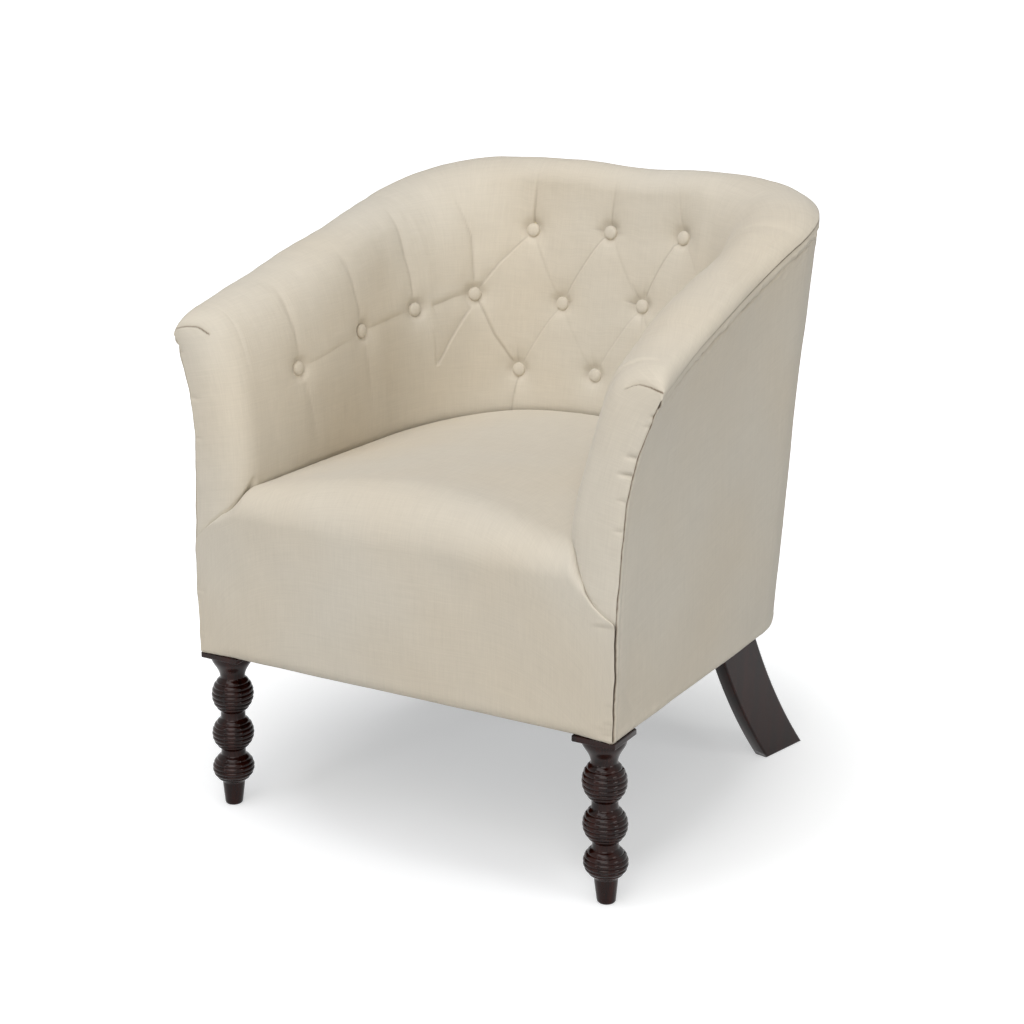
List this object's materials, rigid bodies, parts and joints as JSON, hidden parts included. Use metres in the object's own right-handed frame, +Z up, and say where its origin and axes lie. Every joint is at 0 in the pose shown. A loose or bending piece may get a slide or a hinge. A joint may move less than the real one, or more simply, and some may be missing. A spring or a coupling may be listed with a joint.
{
  "type": "accent chair",
  "caption": "Tub-shaped upholstered accent chair with button-tufted inside, crowned seat, turned front legs and sabre rear legs.",
  "frame": {"origin": "centre of the chair's bounding box at floor level", "axes": "+X to the chair's right side as seen from in front, +Y from the front of the seat to the back, +Z up"},
  "size_m": [0.6804, 0.6119, 0.802],
  "materials": {
    "linen": "cream natural linen, fine plain weave",
    "foam": "upholstery foam and wadding, matt",
    "jute": "burlap, webbing and twine, rough",
    "black_liner": "thin non-woven liner",
    "dark_wood": "dark mahogany stain under gloss lacquer",
    "frame_timber": "sawn hardwood, unfinished",
    "steel": "zinc plated",
    "anchor_plastic": "moulded"
  },
  "bodies": {
    "root": {"seat_cover": "linen", "seat_foam": "foam", "inside_cover": "linen", "tuft_buttons": "linen", "button_twines": "jute", "button_anchors": "anchor_plastic", "hanger_bolts": "steel", "front_seat_rail": "frame_timber", "rear_seat_rail": "frame_timber", "crest_rail": "frame_timber", "back_tack_rail": "frame_timber", "rear_leg_bolts": "steel", "block_screws": "steel", "seat_springs": "steel", "spring_clips": "steel", "spring_cover": "jute", "dust_cover": "black_liner", "back_foam": "foam", "back_burlap": "jute", "back_webbing": "jute", "outside_back_cover": "linen", "right_front_leg": "dark_wood", "left_front_leg": "dark_wood", "right_front_post": "frame_timber", "left_front_post": "frame_timber", "right_seat_rail": "frame_timber", "left_seat_rail": "frame_timber", "right_front_block": "frame_timber", "left_front_block": "frame_timber", "right_rear_stile": "frame_timber", "left_rear_stile": "frame_timber", "right_back_upright": "frame_timber", "left_back_upright": "frame_timber", "right_arm_rail": "frame_timber", "left_arm_rail": "frame_timber", "right_arm_tack_rail": "frame_timber", "left_arm_tack_rail": "frame_timber", "right_rear_leg_block": "frame_timber", "left_rear_leg_block": "frame_timber", "right_rear_leg": "dark_wood", "left_rear_leg": "dark_wood", "right_arm_foam": "foam", "left_arm_foam": "foam", "right_arm_front_pad": "foam", "left_arm_front_pad": "foam", "right_arm_burlap": "jute", "left_arm_burlap": "jute", "right_arm_webbing": "jute", "left_arm_webbing": "jute", "right_outside_cover": "linen", "left_outside_cover": "linen"}
  },
  "joints": []
}
